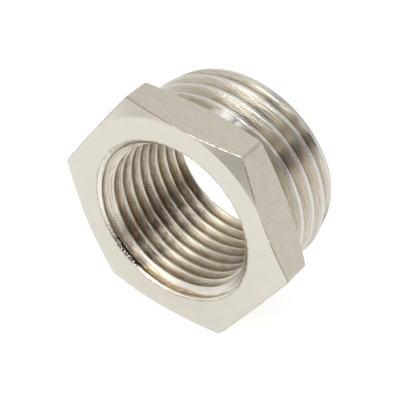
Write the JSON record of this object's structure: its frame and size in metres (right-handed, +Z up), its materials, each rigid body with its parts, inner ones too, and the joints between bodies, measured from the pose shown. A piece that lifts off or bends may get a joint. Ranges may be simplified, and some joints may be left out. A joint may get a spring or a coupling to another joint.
{
  "type": "hex bushing",
  "caption": "Hex reducing bushing of nickel-plated brass with a parallel male pipe thread, a smaller parallel female pipe thread right through and a countersunk front.",
  "frame": {"origin": "on the screw axis, in the plane of the shoulder behind the hexagon", "axes": "+Y along the screw axis towards the free end of the male thread, +Z up with one flat of the hexagon facing straight down, +X across two corners of the hexagon"},
  "size_m": [0.0252, 0.0122, 0.022],
  "materials": {
    "nickel_plated_brass": "nickel plated, satin with fine machining marks"
  },
  "bodies": {
    "root": {"hex_bushing": "nickel_plated_brass"}
  },
  "joints": []
}
